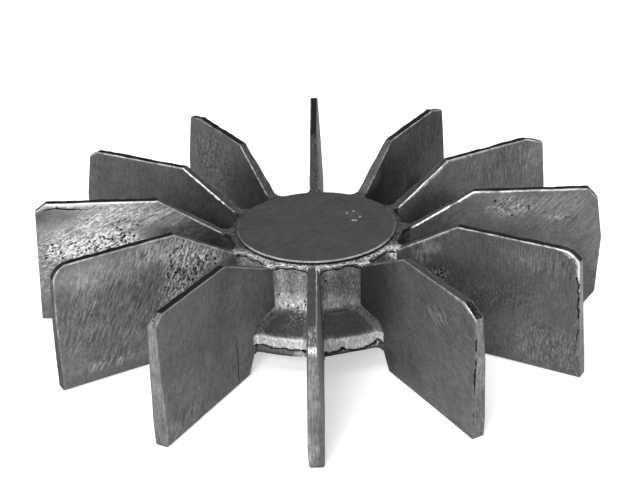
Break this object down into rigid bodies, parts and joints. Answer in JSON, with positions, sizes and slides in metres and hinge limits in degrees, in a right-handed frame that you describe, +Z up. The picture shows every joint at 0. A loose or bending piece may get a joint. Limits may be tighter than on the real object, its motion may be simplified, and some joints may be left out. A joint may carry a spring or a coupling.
{
  "type": "fan impeller",
  "caption": "Cast fan impeller with straight radial blades on a closed hub and a round flange, driven by a shaft in a blind bore underneath.",
  "frame": {"origin": "on the axis, in the plane that the blades' feet stand on", "axes": "+Z up along the axis of rotation, from the feet towards the closed top disc; -Y along one blade"},
  "size_m": [0.306, 0.3032, 0.069],
  "materials": {
    "casting": "as cast, with ground and worn edges"
  },
  "bodies": {
    "root": {"impeller": "casting"}
  },
  "joints": []
}
